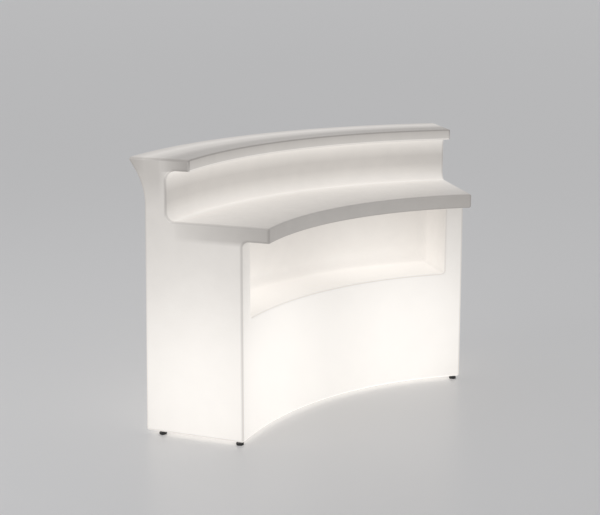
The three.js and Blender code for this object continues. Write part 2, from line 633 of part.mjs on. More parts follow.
// Terminal block, lying along X on the cover
function blockGeometry() {
  const half = BLOCK_WIDTH / 2;
  const shape = new THREE.Shape([
    [-half, 0],
    [half, 0],
    [half, BLOCK_HEIGHT - BLOCK_CHAMFER],
    [half - BLOCK_CHAMFER, BLOCK_HEIGHT],
    [BLOCK_CHAMFER - half, BLOCK_HEIGHT],
    [-half, BLOCK_HEIGHT - BLOCK_CHAMFER],
  ].map(([x, y]) => new THREE.Vector2(x, y)));
  return new THREE.ExtrudeGeometry(shape, { depth: BLOCK_LENGTH, bevelEnabled: false })
    .translate(0, 0, -BLOCK_LENGTH / 2)
    .rotateX(QUARTER_TURN)
    .rotateZ(QUARTER_TURN)
    .translate(0, -BLOCK_OFFSET, COVER_TOP + FIT);
}

// Lead from the end of the terminal block to the lampholder's side entry
function leadGeometry() {
  const low = COVER_TOP + FIT + BLOCK_HEIGHT / 2;
  const high = HOLDER_UNDERSIDE + LEAD_ENTRY_HEIGHT;
  const start = new THREE.Vector3(BLOCK_LENGTH / 2 + FIT, -BLOCK_OFFSET, low);
  const end = new THREE.Vector3(HOLDER_RADIUS - LEAD_ENTRY_DEPTH + FIT, 0, high);
  const from = (point, x, y, z) => point.clone().add(new THREE.Vector3(x, y, z));
  const route = new THREE.CatmullRomCurve3([
    start,
    from(start, LEAD_STRAIGHT, 0, 0),
    ...LEAD_BENDS.map(([x, y, share]) => from(start, x, y, share * (high - low))),
    from(end, LEAD_APPROACH, 0, 0),
    from(end, LEAD_STRAIGHT, 0, 0),
    end,
  ]);
  const shape = new THREE.Shape().absarc(0, 0, LEAD_RADIUS, 0, 2 * Math.PI, false);
  return new THREE.ExtrudeGeometry(shape, {
    steps: LEAD_STEPS,
    curveSegments: LEAD_SIDE_STEPS,
    bevelEnabled: false,
    extrudePath: route,
  });
}

// One light kit about its own axis
function lightKitPieces() {
  const gasketInner = OPENING_RADIUS + GASKET_SETBACK;
  const gasketLow = GASKET_TOP - GASKET_THICKNESS;
  const screws = (name, places, seat, tip) => places.map(([x, y], k) =>
    [`${name}_${k + 1}`, ZINC_STEEL, screw(seat, tip).translate(x, y, 0)]);
  return [
    ['lamp_cover', COVER_WHITE, coverGeometry()],
    ['lamp_gasket', RUBBER_BLACK, revolveRing([
      [gasketInner, gasketLow],
      [gasketInner + GASKET_WIDTH, gasketLow],
      [gasketInner + GASKET_WIDTH, GASKET_TOP],
      [gasketInner, GASKET_TOP],
    ], PLATE_SIDES)],
    ...screws('cover_screw', coverScrewPlaces, COVER_SCREW_SEAT, COVER_SCREW_TIP),
    ['lampholder', HOLDER_CERAMIC, holderGeometry()],
    ...screws('holder_screw', holderScrewPlaces, HOLDER_SCREW_SEAT, HOLDER_SCREW_TIP),
    ['lamp_cap', CAP_METAL, bar(LAMP_CAP_RADIUS, CAP_BOTTOM, HOLDER_TOP, THREAD_SIDES)],
    ['lamp_globe', GLOBE_OPAL, globeGeometry()],
    ...glandPieces().map(([name, material, geometry]) =>
      [name, material, geometry.translate(-GLAND_OFFSET, 0, 0)]),
    ['terminal_block', BLOCK_CREAM, blockGeometry()],
    ['holder_lead', LEAD_WHITE, leadGeometry()],
  ];
}

// The whole counter
function named(name, material, geometry) {
  const mesh = new THREE.Mesh(geometry, material);
  mesh.name = name;
  return mesh;
}

const counter = new THREE.Group();
const shell = named('shell', SHELL_WHITE, shellGeometry());
counter.add(shell);
for (const [place, at] of footPlaces) {
  const foot = new THREE.Group();
  foot.position.copy(at);
  for (const [name, material, geometry] of footPieces()) {
    foot.add(named(`${place}_${name}`, material, geometry));
  }
  counter.add(foot);
}
for (const { name: side, at, angle } of lampPlaces) {
  const kit = new THREE.Group();
  kit.position.copy(at);
  kit.rotation.z = -angle;
  for (const [name, material, geometry] of lightKitPieces()) {
    kit.add(named(`${side}_${name}`, material, geometry));
  }
  counter.add(kit);
}

// The origin lies on the floor, under the middle of the shell's bounding box
const extent = new THREE.Box3().setFromObject(shell);
counter.position.y = -(extent.min.y + extent.max.y) / 2;

const part = new THREE.Group();
part.add(counter);
export default part;
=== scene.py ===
import math

import bmesh
import bpy
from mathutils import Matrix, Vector


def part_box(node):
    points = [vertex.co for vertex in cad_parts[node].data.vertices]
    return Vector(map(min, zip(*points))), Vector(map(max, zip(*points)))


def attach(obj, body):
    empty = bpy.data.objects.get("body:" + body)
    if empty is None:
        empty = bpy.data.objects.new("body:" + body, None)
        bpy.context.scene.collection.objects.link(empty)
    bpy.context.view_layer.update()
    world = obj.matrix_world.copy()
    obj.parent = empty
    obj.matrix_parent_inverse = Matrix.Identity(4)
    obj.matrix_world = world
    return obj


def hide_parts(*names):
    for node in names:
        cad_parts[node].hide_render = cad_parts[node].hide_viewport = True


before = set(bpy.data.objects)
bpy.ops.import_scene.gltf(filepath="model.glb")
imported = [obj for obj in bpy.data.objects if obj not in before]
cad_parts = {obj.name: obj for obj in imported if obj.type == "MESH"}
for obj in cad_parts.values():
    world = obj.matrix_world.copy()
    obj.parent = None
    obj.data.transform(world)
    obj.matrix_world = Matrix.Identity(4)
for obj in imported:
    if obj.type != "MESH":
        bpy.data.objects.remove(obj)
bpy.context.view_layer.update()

QUARTER = math.pi / 2
PLACES = [f"{row}_{side}" for row in ("inner", "outer", "middle") for side in ("left", "right")]
SIDES = ("left", "right")

# Shell's plan and section, in metres
HALF_ANGLE = math.radians(30)
INNER_WALL = 1.217
OUTER_WALL_FOOT = 1.63
OUTER_WALL_TOP = 1.616
LIP = 1.68
LEDGE = 1.427
RISER = 1.526
WORKTOP_EDGE = 1.108
TOP = 1.1
LEDGE_UNDERSIDE = 1.053
WORKTOP = 0.861
WORKTOP_UNDERSIDE = 0.802
BASE = 0.016
WALL = 0.006
FLARE = math.radians(33)

# Rounded edges and corners
FLARE_ROUND = 0.26
LIP_ROUND = 0.009
LEDGE_ROUND = 0.004
LEDGE_FILLET = 0.04
RISER_FILLET = 0.032
WORKTOP_ROUND = 0.005
OVERHANG_FILLET = 0.024
BASE_ROUND = 0.01
END_ROUND = 0.01
LEAST_ROUND = 0.0005

# Shelf niche
NICHE_HALF = math.radians(26.2)
NICHE_BACK = 1.49
NICHE_FLOOR = 0.491
NICHE_CORNER = 0.014
MOUTH_ROUND = 0.008
BACK_FILLET = 0.04
MARGIN = 0.03  # wall round the mouth that belongs to the niche's mesh

# Steps of the mesh
END_STEPS = 6
MOUTH_STEPS = 6
BACK_STEPS = 8
DEPTH_STEPS = 5
CORNER_HALF_STEPS = 4
NICHE_COLUMNS = 48
NICHE_ROWS = 12
LOWER_ROWS = 12
LONGEST_STEP = 0.06
SUPPORT = 0.004  # row beside a rounded edge that keeps its neighbour flat
MOST_SUPPORT = 0.3  # such a row's place on a short run, as a share of the run
BROAD_SIDES = 96
SMALL_SIDES = 32
FINE_SIDES = 16
SAME = 1e-6  # heights and radii this close are the same row
WELD_DISTANCE = 2e-6
SMOOTH_BELOW = math.radians(40)

# Holes in the base, and the bosses round them
RECESS_RADIUS = 0.1
RECESS_ROOF = 0.064
OPENING_RADIUS = 0.075
INSERT_HOLE_RADIUS = 0.0083
INSERT_HOLE_TOP = 0.0436
FOOT_BOSS_RADIUS = 0.02
FIT = 0.0003
SCREW_HOLE = 0.002 + FIT
SCREW_BOSS_WALL = 0.003
COVER_SCREWS = range(1, 5)

# Light kits
LAMP_RADIUS = 1.421
LAMP_ANGLE = math.radians(16.5)
LAMP_HEIGHT = 0.2
COVER_RADIUS = 0.097
COVER_THICKNESS = 0.004
COVER_EDGE = 0.001
PLINTH_RADIUS = 0.033
PLINTH_TAPER = 0.002
GLAND_HOLE = 0.0083
HOLDER_SCREWS = range(1, 3)

# Levelling feet
PAD_HEIGHT = 0.008
PAD_SOCKET_FLOOR = 0.0025
PAD_PROFILE = [  # radius and height, from the middle of the sole to the edge of the top
    (0.0, 0.0), (0.0125, 0.0), (0.0142, 0.0006), (0.0149, 0.0018), (0.015, 0.003),
    (0.015, 0.0058), (0.0146, 0.007), (0.0138, 0.0077), (0.0128, PAD_HEIGHT),
]
PAD_GRIPS = 24
GRIP_DEPTH = 0.0006
GRIPS_OUTSIDE = 0.0142  # flutes run where the pad is wider than this radius
STEM_RADIUS = 0.005
STEM_TIP = 0.0035  # radius of the chamfered ends
THREAD_PITCH = 0.0015
THREAD_DEPTH = 0.0009
THREAD_FORM = ((0.0, 0.0), (0.25, 0.0), (0.56, 1.0), (0.69, 1.0), (1.0, 0.0))  # share of pitch, of depth

# Painted glow of the shell, an emission that stands in for the lamps' light through the plastic: light
# straight from the lamps
GLOW_REACH = 0.5
GLOW_FALL = 4.0
GLOW_STRENGTH = 0.5
GLOW_TINT = (1.0, 0.972, 0.93)

# Painted glow of the shell: light that spreads through the hollow, as a share of what the plain walls let
# through
HOLLOW_STRENGTH = 0.27
NICHE_LIGHT = 0.6
FILLET_LIGHT = 1.5
LEDGE_LIGHT = 1.9
RISER_LIGHT = 0.72
LEDGE_EDGE_LIGHT = 0.95  # at the foot of the ledge's face, and half of it at the top
TOP_LIGHT = 1.6  # over the neck, and none over the ledge
BASE_LIGHT = 1.7

# Painted glow of the shell: thin parts that get little of it, a painted shade
TIP_CURVE = 0.6
TIP_BLEND = 0.02
LEDGE_BLEND = 0.005
NECK_BLEND = 0.11
LEDGE_FACE = 0.001  # the ledge's face looks into its hollow, so this much of it keeps its light
LEDGE_DARK = 0.01
NECK_DARK = 0.03
FAR = 100.0
WORKTOP_TIP = (WORKTOP_EDGE - TIP_BLEND, WORKTOP_EDGE, RISER - RISER_FILLET)
LEDGE_TIP = (LEDGE + LEDGE_FACE, LEDGE + LEDGE_DARK, RISER + TIP_BLEND)
LIP_TIP = (LIP + TIP_BLEND, LIP, OUTER_WALL_TOP)
NECK_TIP = (RISER + SUPPORT, RISER + NECK_DARK, FAR)
TIPS = (  # light, radii where the loss starts, is full and ends, lowest and highest place, blend under it
    (0.12, WORKTOP_TIP, WORKTOP_UNDERSIDE, WORKTOP, TIP_BLEND),
    (0.05, LEDGE_TIP, LEDGE_UNDERSIDE, TOP, LEDGE_BLEND),
    (0.5, LIP_TIP, LEDGE_UNDERSIDE, TOP, TIP_BLEND),
    (0.64, NECK_TIP, LEDGE_UNDERSIDE - LEDGE_FILLET, TOP, NECK_BLEND),
)

# Painted shade on the shell: edges that look darker, in its glow and its colour
SMALL_ROUND = 0.0095  # up to this round
MOUTH_RIM = 0.7  # painted shade at the niche's mouth, beside the other edges
PAINTED_RIM_SHADE = 0.32

# Surface of the shell: colour that varies at random, and is darkened at the rims by painted shade
SHELL_DARK = (0.42, 0.392, 0.366)
SHELL_PALE = (0.5, 0.468, 0.438)
CLOUDS, CLOUD_LOW, CLOUD_HIGH = 3.0, 0.97, 1.03
SHADES = 14.0
GLOSS_PATCHES, GLOSSY, DULL = 60.0, 0.36, 0.5
ORANGE_PEEL, PEEL_STRENGTH, PEEL_DEPTH = 420.0, 0.05, 0.0008

# Other finishes
GRAIN = 300.0
GRAIN_DEPTH = 0.0004
GLOSS_SPREAD = 0.06
RING_SCALE = 0.314  # the wave texture's scale times the width of its bands
RING_STRENGTH = 0.5
RING_DEPTH = 0.0005
RING_GLOSS_PATCHES, RING_GLOSSY, RING_DULL = 200.0, 0.05, 0.08
OPAL_TINT = (1.0, 0.95, 0.86)
OPAL_STRENGTH = 0.8

# Studio: name, place, aim, size and power of each light
LIGHTS = (
    ("overhead", (0.0, 1.2, 4.2), (0.0, 0.0, 0.6), 4.0, 20.0),
    ("left", (-4.5, 0.5, 2.2), (-0.6, 0.0, 0.6), 2.5, 25.0),
)
WORLD_GREY = (0.6, 0.6, 0.605)
FLOOR_SIZE = 600.0
FLOOR_GREY = (0.7, 0.7, 0.705)
FLOOR_ROUGHNESS = 0.3

# Camera solved from the photo's edges
EYE = Vector((-3.2179, -2.3628, 1.7587))  # from the arc's axis on the floor
YAW = 0.7024
PITCH = 0.1687
SENSOR = 36.0
LENS = 71.127
RISE = -0.125
SIGHT = 500.0

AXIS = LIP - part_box("shell")[1].y  # arc's axis lies this far behind the origin


def on_arc(radius, height, angle, shift=0.0):
    """Point at a radius and an angle of the plan, moved along the arc's tangent by shift."""
    x = radius * math.sin(angle) + shift * math.cos(angle)
    y = radius * math.cos(angle) - shift * math.sin(angle) - AXIS
    return Vector((x, y, height))


def left_of(v):
    return Vector((-v.y, v.x))


def turned(point, centre, angle):
    v = point - centre
    c, s = math.cos(angle), math.sin(angle)
    return centre + Vector((c * v.x - s * v.y, s * v.x + c * v.y))


def corner_arcs(corners, inset):
    """One row of points for each corner: the corner's arc, moved into the body by inset."""
    points = [Vector((r, z)) for r, z, _, _ in corners]
    count = len(corners)
    along = [(points[(i + 1) % count] - points[i]).normalized() for i in range(count)]
    start = [points[i] + left_of(along[i]) * inset for i in range(count)]
    arcs = []
    for i, (_, _, size, steps) in enumerate(corners):
        before, after = along[i - 1], along[i]
        cross = before.x * after.y - before.y * after.x
        turn = math.atan2(cross, before.dot(after))
        gap = start[i] - start[i - 1]
        run = (gap.x * after.y - gap.y * after.x) / cross
        radius = max(size - inset if turn > 0 else size + inset, LEAST_ROUND)
        begin = start[i - 1] + before * (run - radius * math.tan(abs(turn) / 2))
        centre = begin + left_of(before) * math.copysign(radius, turn)
        arcs.append([turned(begin, centre, turn * k / steps) for k in range(steps + 1)])
    return arcs


def shell_corners():
    """Section's corners from the outer wall's foot, round over the top: radius, height, round, steps."""
    lip = LIP + LIP_ROUND * (math.tan(FLARE) + 1 / math.cos(FLARE) - 1)
    flare_height = TOP - (lip - OUTER_WALL_TOP) / math.tan(FLARE)
    return [
        (OUTER_WALL_FOOT, BASE, BASE_ROUND, 5),
        (OUTER_WALL_TOP, flare_height, FLARE_ROUND, 14),
        (lip, TOP, LIP_ROUND, 8),
        (LEDGE, TOP, LEDGE_ROUND, 5),
        (LEDGE, LEDGE_UNDERSIDE, LEDGE_ROUND, 5),
        (RISER, LEDGE_UNDERSIDE, LEDGE_FILLET, 10),
        (RISER, WORKTOP, RISER_FILLET, 10),
        (WORKTOP_EDGE, WORKTOP, WORKTOP_ROUND, 5),
        (WORKTOP_EDGE, WORKTOP_UNDERSIDE, WORKTOP_ROUND, 5),
        (INNER_WALL, WORKTOP_UNDERSIDE, OVERHANG_FILLET, 7),
        (INNER_WALL, BASE, BASE_ROUND, 5),
    ]


CORNERS = shell_corners()
NOMINAL = corner_arcs(CORNERS, 0.0)
OVERHANG, INNER_BASE = 9, 10  # places of these corners in the list
LOW_ROW = NICHE_FLOOR - MARGIN


def even(a, b, count):
    """Values after a, up to and including b, in count even steps."""
    return [a + (b - a) * k / count for k in range(1, count + 1)]


def side_break():
    """Height at which the mouth's lower corner goes over into its upright side."""
    return NICHE_FLOOR + NICHE_CORNER


def wall_rows():
    """Heights of the inner wall's rows, from under the overhang to over the base's round."""
    top = WORKTOP_UNDERSIDE - OVERHANG_FILLET
    foot = BASE + BASE_ROUND
    return (
        [top - SUPPORT]
        + even(top - SUPPORT, side_break(), NICHE_ROWS)
        + even(side_break(), LOW_ROW, CORNER_HALF_STEPS)
        + even(LOW_ROW, foot + SUPPORT, LOWER_ROWS)
    )


def span_fractions(length):
    """Places of the extra points along a straight run of the section."""
    edge = min(SUPPORT / length, MOST_SUPPORT)
    count = max(1, math.ceil(length / LONGEST_STEP))
    return [edge] + [edge + (1 - 2 * edge) * k / count for k in range(1, count)] + [1 - edge]


def section(inset):
    """Closed row of (radius, height, rim) round the section, moved into the body by inset; rim is the weight
    of the painted edge shade.
    """
    arcs = corner_arcs(CORNERS, inset)
    rows = []
    for i, arc in enumerate(arcs):
        small = CORNERS[i][2] <= SMALL_ROUND
        for k, p in enumerate(arc):
            rows.append((p.x, p.y, float(small and 0 < k < len(arc) - 1)))
        after = arcs[(i + 1) % len(arcs)][0]
        if i == OVERHANG:
            lowest = arcs[INNER_BASE][0].y
            rows += [(INNER_WALL + inset, max(z, lowest), 0.0) for z in wall_rows()]
            continue
        length = (NOMINAL[(i + 1) % len(arcs)][0] - NOMINAL[i][-1]).length
        rows += [(*arc[-1].lerp(after, f), 0.0) for f in span_fractions(length)]
    return rows


def row_index(inset):
    """Index of the overhang's first fillet row, of the niche's lowest row, and the number of rows."""
    rows = section(inset)
    first = next(i for i, (r, z, _) in enumerate(rows)
                 if abs(r - (INNER_WALL - OVERHANG_FILLET)) < SAME and z < WORKTOP)
    low = next(i for i, (r, z, _) in enumerate(rows) if i > first and abs(z - LOW_ROW) < SAME)
    return first, low, len(rows)


def niche_rings(inset):
    """Niche's cross-sections from mouth to back: radius, reach past the outline, ceiling's rise."""
    rings = []
    for k in range(MOUTH_STEPS + 1):
        t = QUARTER * k / MOUTH_STEPS
        small = MOUTH_ROUND - inset
        radius = INNER_WALL + MOUTH_ROUND - small * math.cos(t)
        rings.append((radius, MOUTH_ROUND - small * math.sin(t), inset))
    begin = NICHE_BACK - BACK_FILLET
    near, far = rings[-1][0] + SUPPORT, begin - SUPPORT
    rings += [(r, inset, inset) for r in [near] + even(near, far, DEPTH_STEPS)]
    for k in range(BACK_STEPS + 1):
        t = QUARTER * k / BACK_STEPS
        wide = BACK_FILLET + inset
        reach = wide * math.cos(t) - BACK_FILLET
        rings.append((begin + wide * math.sin(t), reach, reach))
    reach = -BACK_FILLET - SUPPORT
    rings.append((NICHE_BACK + inset, reach, reach))
    return rings


def hole_half():
    """Half the angle of the wall that belongs to the niche's mesh."""
    return NICHE_HALF + MARGIN / INNER_WALL


def mouth_half(inset):
    """Half the angle of the niche's mouth at the wall, its round included."""
    return NICHE_HALF + MOUTH_ROUND / (INNER_WALL + inset)


def columns():
    """Angles of the mesh's columns across the niche."""
    edge = hole_half()
    flat = NICHE_HALF - NICHE_CORNER / INNER_WALL
    left = [-edge] + even(-edge, -flat, CORNER_HALF_STEPS)
    return left + even(-flat, flat, NICHE_COLUMNS) + even(flat, edge, CORNER_HALF_STEPS)


def end_stations(inset):
    """Stations at an end face: shift from the face, inset, and rim, the weight of the painted edge shade."""
    if inset:
        return [(inset, inset, 0.0)]
    stations = [(0.0, END_ROUND + SUPPORT, 0.0)]
    for k in range(END_STEPS + 1):
        t = QUARTER * k / END_STEPS
        rim = math.sin(2 * t)
        stations.append((END_ROUND * (1 - math.cos(t)), END_ROUND * (1 - math.sin(t)), rim))
    return stations + [(END_ROUND + SUPPORT, 0.0, 0.0), (END_ROUND + 4 * SUPPORT, 0.0, 0.0)]


def share(value, low, high):
    """How far the value is on its way from low to high, from 0 to 1."""
    return min(max((value - low) / (high - low), 0.0), 1.0)


def between(a, b, part):
    """Value that lies a share of the way from a to b."""
    return a + (b - a) * part


def hollow_light(point):
    """How much of the hollow's painted glow a place gets: more in hollow corners and over the neck."""
    radius, height = math.hypot(point.x, point.y + AXIS), point.z
    beside_ledge = LEDGE_UNDERSIDE + SUPPORT < height < TOP - LEDGE_ROUND - SAME
    if beside_ledge and radius < LEDGE + LEDGE_FACE:
        return between(LEDGE_EDGE_LIGHT / 2, LEDGE_EDGE_LIGHT, share(height, TOP, LEDGE_UNDERSIDE))
    if height > TOP - LIP_ROUND:
        return TOP_LIGHT * share(radius, RISER - RISER_FILLET, OUTER_WALL_TOP)
    if height < BASE + BASE_ROUND / 2:
        return BASE_LIGHT
    if WORKTOP - SUPPORT < height < LEDGE_UNDERSIDE + SUPPORT and radius < RISER + SUPPORT:
        high = share(height, LEDGE_UNDERSIDE - 2 * LEDGE_FILLET, LEDGE_UNDERSIDE)
        low = share(height, WORKTOP + 2 * RISER_FILLET, WORKTOP)
        return between(between(RISER_LIGHT, LEDGE_LIGHT, high), FILLET_LIGHT, low)
    inside = INNER_WALL + MOUTH_ROUND < radius < NICHE_BACK + SUPPORT
    level = NICHE_FLOOR - SUPPORT < height < WORKTOP_UNDERSIDE + SUPPORT
    return NICHE_LIGHT if inside and level else 1.0


def weld(mesh):
    """Joins points that lie together, and turns all faces outward."""
    bm = bmesh.new()
    bm.from_mesh(mesh)
    bmesh.ops.remove_doubles(bm, verts=bm.verts, dist=WELD_DISTANCE)
    bmesh.ops.dissolve_degenerate(bm, edges=bm.edges, dist=WELD_DISTANCE / 2)
    bmesh.ops.recalc_face_normals(bm, faces=bm.faces)
    bm.to_mesh(mesh)
    bm.free()


class Skin:
    """Collects points, each with its rim (weight of the painted edge shade) and its painted glow, and faces,
    and makes one welded mesh of them.
    """

    def __init__(self):
        self.points, self.rims, self.lights, self.faces = [], [], [], []

    def add(self, point, rim=0.0, light=None):
        self.points.append(point)
        self.rims.append(rim)
        self.lights.append(hollow_light(point) if light is None else light)
        return len(self.points) - 1

    def strip(self, a, b):
        """Faces between two rows of equal length, with three sides where the rows share a point."""
        for k in range(len(a) - 1):
            self.faces.append(tuple(dict.fromkeys((a[k], a[k + 1], b[k + 1], b[k]))))

    def mesh(self, name):
        mesh = bpy.data.meshes.new(name)
        mesh.from_pydata(self.points, [], self.faces)
        for key, numbers in (("rim", self.rims), ("hollow", self.lights)):
            mesh.attributes.new(key, "FLOAT", "POINT").data.foreach_set("value", numbers)
        weld(mesh)
        return mesh


def sweep(skin, inset):
    """Swept section with the niche's part of the inner wall left open. Gives the niche's boundary rows."""
    first, low, count = row_index(inset)
    plain = section(inset)
    left = [(-HALF_ANGLE, s, i, rim) for s, i, rim in end_stations(inset)]
    right = [(HALF_ANGLE, -s, i, rim) for _, s, i, rim in reversed(left)]
    across = columns()
    narrow = mouth_half(inset) / hole_half()  # the ceiling's first row is as wide as the mouth
    rings = []
    for angle, shift, extra, rim in left + [(a, 0.0, inset, 0.0) for a in across] + right:
        rows = plain if extra == inset else section(extra)
        flat = not shift and abs(angle) == HALF_ANGLE  # on the end face
        light = 1.0 if flat else None
        ring = []
        for k, (r, z, own) in enumerate(rows):
            a = angle * narrow if k == first and abs(angle) <= hole_half() else angle
            ring.append(skin.add(on_arc(r, z, a, shift), 0.0 if flat else max(rim, own), light))
        rings.append(ring)
    begin, end = len(left), len(left) + len(across) - 1
    for c in range(len(rings) - 1):
        for k in range(count):
            if begin <= c < end and first <= k < low:
                continue
            n = (k + 1) % count
            skin.faces.append((rings[c][k], rings[c][n], rings[c + 1][n], rings[c + 1][k]))
    skin.faces.append(tuple(rings[0]))
    skin.faces.append(tuple(reversed(rings[-1])))
    side = range(first, low + 1)
    return {
        "left": [rings[begin][k] for k in side],
        "right": [rings[end][k] for k in side],
        "top": [ring[first] for ring in rings[begin:end + 1]],
        "bottom": [ring[low] for ring in rings[begin:end + 1]],
        "rows": [plain[k] for k in side],
    }


def mouth_corner(ring):
    """Lower left corner of a cross-section, from its side to its floor: angle and height."""
    radius, reach, _ = ring
    size = max(NICHE_CORNER + reach, LEAST_ROUND)
    half = NICHE_HALF + reach / radius
    floor = NICHE_FLOOR - reach
    points = []
    for k in range(2 * CORNER_HALF_STEPS + 1):
        t = QUARTER * k / (2 * CORNER_HALF_STEPS)
        points.append((-half + size * (1 - math.cos(t)) / radius, floor + size * (1 - math.sin(t))))
    return points


def ring_points(skin, ring, rows, on_wall, rim):
    """A cross-section's points: left side from the top, floor, right side, and its ceiling."""
    radius, reach, rise = ring
    corner = mouth_corner(ring)
    half = NICHE_HALF + reach / radius
    top, foot = WORKTOP_UNDERSIDE + rise, corner[0][1]
    span_top, span_foot = rows[0][1], side_break()
    upright = []
    for r, z, _ in rows[:len(rows) - CORNER_HALF_STEPS]:
        height = between(foot, top, (z - span_foot) / (span_top - span_foot))
        upright.append((min(r, radius) if on_wall else radius, height))
    side = [(r, -half, z) for r, z in upright[:-1]]
    side += [(radius, a, z) for a, z in corner[:CORNER_HALF_STEPS + 1]]
    flat = corner[-1][0]
    floor = [(radius, a, z) for a, z in corner[CORNER_HALF_STEPS:]]
    floor += [(radius, a, corner[-1][1]) for a in even(flat, -flat, NICHE_COLUMNS)[:-1]]
    floor += [(radius, -a, z) for a, z in reversed(corner[CORNER_HALF_STEPS:])]
    ceiling = [(radius, a * half / hole_half(), top) for a in columns()]
    rows_out = {}
    for name, row in (("left", side), ("bottom", floor), ("top", ceiling)):
        rows_out[name] = [skin.add(on_arc(r, z, a), rim) for r, a, z in row]
    rows_out["right"] = [skin.add(on_arc(r, z, -a), rim) for r, a, z in side]
    return rows_out


def niche(skin, inset, mouth):
    """The niche's surface, joined to the rows that the swept section left open."""
    before = mouth
    rings = niche_rings(inset)
    for j, ring in enumerate(rings):
        # Painted shade along the niche's mouth
        rim = MOUTH_RIM * math.sin(math.pi * j / MOUTH_STEPS) if j < MOUTH_STEPS else 0.0
        now = ring_points(skin, ring, mouth["rows"], j == 0, rim)
        if j == 0:
            # The ceiling starts at the overhang, so the first cross-section has the overhang's own top
            now["top"] = mouth["top"]
            now["left"][0], now["right"][0] = mouth["left"][0], mouth["right"][0]
        else:
            skin.strip(before["top"], now["top"])
        for name in ("left", "bottom", "right"):
            skin.strip(before[name], now[name])
        before = now
    back_wall(skin, before, rings[-1])


def back_wall(skin, edge, ring):
    """Flat grid that closes the niche at its back."""
    rows = len(edge["left"]) - 1
    above = edge["top"]
    for i in range(1, rows + 1):
        if i == rows:
            row = edge["bottom"]
        else:
            row = [edge["left"][i]]
            part = i / rows
            for k in range(1, len(above) - 1):
                high, low = skin.points[edge["top"][k]], skin.points[edge["bottom"][k]]
                x = between(high.x, low.x, part)
                y = math.sqrt(ring[0] ** 2 - x ** 2) - AXIS
                row.append(skin.add(Vector((x, y, skin.points[edge["left"][i]].z))))
            row.append(edge["right"][i])
        skin.strip(above, row)
        above = row


def skin_mesh(inset, name):
    """Closed surface of the moulding, moved into the body by inset."""
    skin = Skin()
    niche(skin, inset, sweep(skin, inset))
    return skin.mesh(name)


def link(name, mesh):
    obj = bpy.data.objects.new(name, mesh)
    bpy.context.scene.collection.objects.link(obj)
    return obj


def turning(skin, middle, profile, sides):
    """Solid of revolution about an upright axis, from a profile of (radius, height)."""
    angles = [2 * math.pi * k / sides for k in range(sides)]
    rows = []
    for r, z in profile:
        row = [skin.add(Vector((middle.x + r * math.cos(a), middle.y + r * math.sin(a), z))) for a in angles]
        rows.append(row + row[:1])
    for a, b in zip(rows, rows[1:]):
        skin.strip(a, b)


def drum(radius, low, high):
    """Profile of a plain cylinder."""
    return [(0.0, low), (radius, low), (radius, high), (0.0, high)]


def combine(obj, tool, operation):
    """Cuts the tool out of the object or joins the two, and removes the tool."""
    change = obj.modifiers.new("change", "BOOLEAN")
    change.operation = operation
    change.solver = "EXACT"
    change.object = tool
    bpy.context.view_layer.update()
    depsgraph = bpy.context.evaluated_depsgraph_get()
    result = bpy.data.meshes.new_from_object(obj.evaluated_get(depsgraph))
    obj.modifiers.clear()
    old = obj.data
    obj.data = result
    bpy.data.meshes.remove(old)
    bpy.data.objects.remove(tool)


def centre_of(node):
    low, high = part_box(node)
    return (low + high) / 2


def screw_drums(skin, side, radius, end):
    """Drums round a cover's screws, from the recess past the screws' tips."""
    for k in COVER_SCREWS:
        node = f"{side}_cover_screw_{k}"
        profile = drum(radius, RECESS_ROOF - WALL / 2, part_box(node)[1].z + end)
        turning(skin, centre_of(node), profile, FINE_SIDES)


def bosses():
    """Plastic that stays in the hollow round the lamp recesses, the cover screws and the foot inserts."""
    skin = Skin()
    for side in SIDES:
        profile = drum(RECESS_RADIUS + WALL, 0.0, RECESS_ROOF + WALL)
        turning(skin, centre_of(f"{side}_lamp_cover"), profile, BROAD_SIDES)
    for place in PLACES:
        profile = drum(FOOT_BOSS_RADIUS, 0.0, INSERT_HOLE_TOP + WALL)
        turning(skin, centre_of(f"{place}_foot_insert"), profile, SMALL_SIDES)
    solid = link("bosses", skin.mesh("bosses"))
    screws = Skin()
    for side in SIDES:
        screw_drums(screws, side, SCREW_HOLE + SCREW_BOSS_WALL, FIT + SCREW_BOSS_WALL)
    combine(solid, link("screw_bosses", screws.mesh("screw_bosses")), "UNION")
    return solid


def holes():
    """Lamp recesses with their openings, and the holes for the foot inserts and the cover screws."""
    skin = Skin()
    opening = drum(OPENING_RADIUS, RECESS_ROOF, 2 * RECESS_ROOF)
    recess = drum(RECESS_RADIUS, -BASE, RECESS_ROOF)[:3] + opening[1:]
    for side in SIDES:
        turning(skin, centre_of(f"{side}_lamp_cover"), recess, BROAD_SIDES)
    for place in PLACES:
        profile = drum(INSERT_HOLE_RADIUS, -BASE, INSERT_HOLE_TOP)
        turning(skin, centre_of(f"{place}_foot_insert"), profile, SMALL_SIDES)
    solid = link("holes", skin.mesh("holes"))
    screws = Skin()
    for side in SIDES:
        screw_drums(screws, side, SCREW_HOLE, FIT)
    combine(solid, link("screw_holes", screws.mesh("screw_holes")), "UNION")
    return solid


def relight(mesh):
    """Gives the cut base and the recesses in it their painted glow, which the cut doesn't carry over."""
    lights = mesh.attributes["hollow"].data
    for vertex in mesh.vertices:
        if vertex.co.z < BASE + LEAST_ROUND:
            lights[vertex.index].value = BASE_LIGHT
        elif lights[vertex.index].value == 0.0:
            lights[vertex.index].value = hollow_light(vertex.co)


